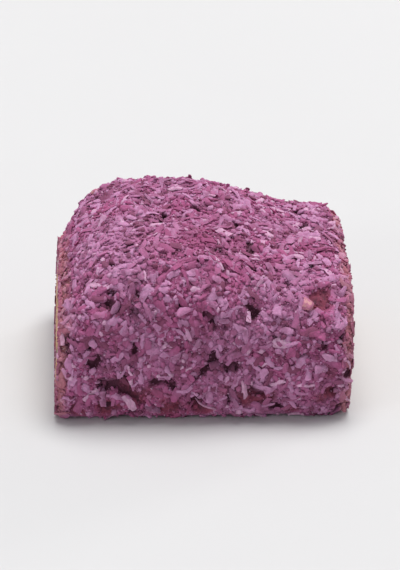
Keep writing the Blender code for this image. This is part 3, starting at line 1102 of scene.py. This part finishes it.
gel = Finish("amber_jelly", Specular_IOR_Level=0.42, Subsurface_Weight=0.35,
             Subsurface_Scale=2.5 * MM, Subsurface_Radius=(1.0, 0.38, 0.12))
streaks = gel.noise(0.8, 3.0, 0.6, gel.stretched(1.0, 1.0, 0.12))
gel.drive("Base Color", gel.layers(
    AMBER,
    ((gel.noise(3.4, 3.0) * 0.9 + streaks * 0.1).ramp(0.34, 0.66), CLOUDY_AMBER),
    (gel.frayed("from_nut", 1.3, 2.6).ramp(0.9, 0.0) * 0.5, NUT_CLOUD),
    (gel.frayed("from_edge", 1.6, 1.6).ramp(1.7, 0.1) * 0.9, DYED),
    (gel.frayed("from_edge", 1.4, 0.9, 3.0, 0.6).ramp(1.6, 0.2) * 0.45, DUSTY_ROSE),
))
gel.drive("Roughness", 0.10 + 0.20 * streaks)
gel.bump(streaks * 0.1 + gel.noise(1.4, 2.0, 0.4) * 0.9, 0.95)
jelly = make_jelly()
settle(jelly, gel, "jelly", "jelly_body")
stray_finish = toned("stray_crumbs", 0.45, 0.90, 0.99, 0.6)
scattered("stray_crumbs", jelly, "flake", stray_finish, cover="stray", density=3.0e6,
          spacing=0.3 * MM, smallest=0.3 * MM, largest=1.1 * MM, tilt=0.35, lift=0.01 * MM, seed=15)

# %% [markdown]
# ## Nut chips in the coat
#
# A few broken bits of nut were picked up with the crumb. Each is the hull of some random corners,
# so it has flat broken faces, with its edges softened. It is half sunk in the coat and dusted by it.

# %% Chips
CHIPS = (  # share along the bar, angle round it in degrees, and length in millimetres
    (0.842, 158, 2.5),
    (0.33, 20, 1.6),
    (0.12, 38, 1.4),
)
CHIP_SHAPE = Vector((0.5, 0.375, 0.25))  # half its length, width and thickness, for one unit long
CHIP_CORNERS, CHIP_SEED = 10, 70
CHIP_RAISED, CHIP_EDGE = 0.05 * MM, 0.04 * MM
PINK_CREAM = (0.600, 0.290, 0.310)


def make_chips():
    bm = bmesh.new()
    for number, (share, degrees, long_mm) in enumerate(CHIPS):
        rng = np.random.default_rng(number + CHIP_SEED)
        place, normal = (Vector(array) for array in coat_point(share, degrees))
        turn = normal.to_track_quat("Z", "X").to_matrix()
        corners = []
        for direction in rng.standard_normal((CHIP_CORNERS, 3)):
            corner = turn @ (Vector(direction).normalized() * CHIP_SHAPE * long_mm * MM)
            corners.append(bm.verts.new(place + corner + normal * CHIP_RAISED))
        bmesh.ops.convex_hull(bm, input=corners)
    bmesh.ops.delete(bm, geom=[v for v in bm.verts if not v.link_faces], context="VERTS")
    bmesh.ops.bevel(bm, geom=list(bm.edges), offset=CHIP_EDGE, segments=2, affect="EDGES")
    return outward(bmesh_piece("nut_chips", bm))


chip_finish = Finish("dusted_nut", Roughness=0.8)
dusted = chip_finish.noise(0.5).ramp(0.42, 0.58) * 0.7
chip_finish.drive("Base Color", chip_finish.mix(dusted, PINK_CREAM, ROSY_MAUVE))
settle(make_chips(), chip_finish, "kernel")

# %% [markdown]
# ## The stage
#
# A plain white sweep and soft light from above keep attention on the bite. Two small low lights,
# one at each cut, make the moist jelly glint. The sweep is a turned bowl: flat under the bite, and
# curving up far behind it on every side, so no horizon shows.

# %% The sweep
FLAT, BEND = 0.66, 1.1  # metres of flat floor round the bite, and the radius of the curve behind it
PAPER, PAPER_SHADE = (0.63, 0.63, 0.635), (0.61, 0.61, 0.615)


def make_sweep():
    quarter = np.linspace(0, math.pi / 2, 16)
    bend = zip(FLAT + BEND * np.sin(quarter), BEND - BEND * np.cos(quarter))
    profile = [(0.02, 0.0), (0.2, 0.0), (0.5, 0.0), *bend]
    rings = [[(r * math.cos(a), r * math.sin(a), z) for a in circle(96)] for r, z in profile]
    sweep = ring_mesh("sweep", np.array(rings), poles=(np.zeros(3), None))
    paper = Finish("white_paper", Roughness=0.9)
    paper.drive("Base Color", paper.mix(paper.noise(60.0, 3.0), PAPER, PAPER_SHADE))
    sweep.data.materials.append(paper.material)


make_sweep()

# %% Lights
def aimed(name, data, place, target=(0, 0, 0)):
    """A light or a camera at a place, turned towards a target."""
    holder = linked(name, data)
    holder.location = place
    holder.rotation_euler = (Vector(target) - Vector(place)).to_track_quat("-Z", "Y").to_euler()
    return holder


def soft_light(name, place, size, power, colour):
    """A square area light that faces the bite."""
    light = bpy.data.lights.new(name, "AREA")
    light.size, light.energy, light.color = size, power, colour
    aimed(name, light, place)


soft_light("key", (0.14, 0.20, 1.30), 0.8, 17.9, (1.0, 0.985, 0.975))
soft_light("left_glint", (-1.0, -0.6, 0.36), 0.3, 2.3, (0.97, 0.98, 1.0))
soft_light("right_glint", (0.9, 0.75, 0.30), 0.3, 2.6, (1.0, 0.99, 0.98))

world = bpy.data.worlds.new("studio")
world.use_nodes = True
sky = world.node_tree.nodes["Background"].inputs
sky["Color"].default_value, sky["Strength"].default_value = (0.95, 0.97, 1.0, 1.0), 0.39
bpy.context.scene.world = world
bpy.context.scene.view_settings.view_transform = "Standard"

# %% Camera
CAMERA_LENS, CAMERA_DISTANCE = 270.0, 0.518
CAMERA_AZIMUTH, CAMERA_ELEVATION = math.radians(-2), math.radians(26)


def make_camera():
    camera = bpy.data.cameras.new("camera")
    camera.lens, camera.clip_start, camera.clip_end = CAMERA_LENS, 0.01, 10.0
    flat, rise = math.cos(CAMERA_ELEVATION), math.sin(CAMERA_ELEVATION)
    back = Vector((math.sin(CAMERA_AZIMUTH) * flat, -math.cos(CAMERA_AZIMUTH) * flat, rise))
    middle = Vector((0, 0, HEIGHT / 2))
    bpy.context.scene.camera = aimed("camera", camera, middle + back * CAMERA_DISTANCE, middle)


make_camera()

# %% Tidy up
for shelf in SHAPES.values():
    for shape in list(shelf.objects):
        bpy.data.objects.remove(shape)
    bpy.data.collections.remove(shelf)
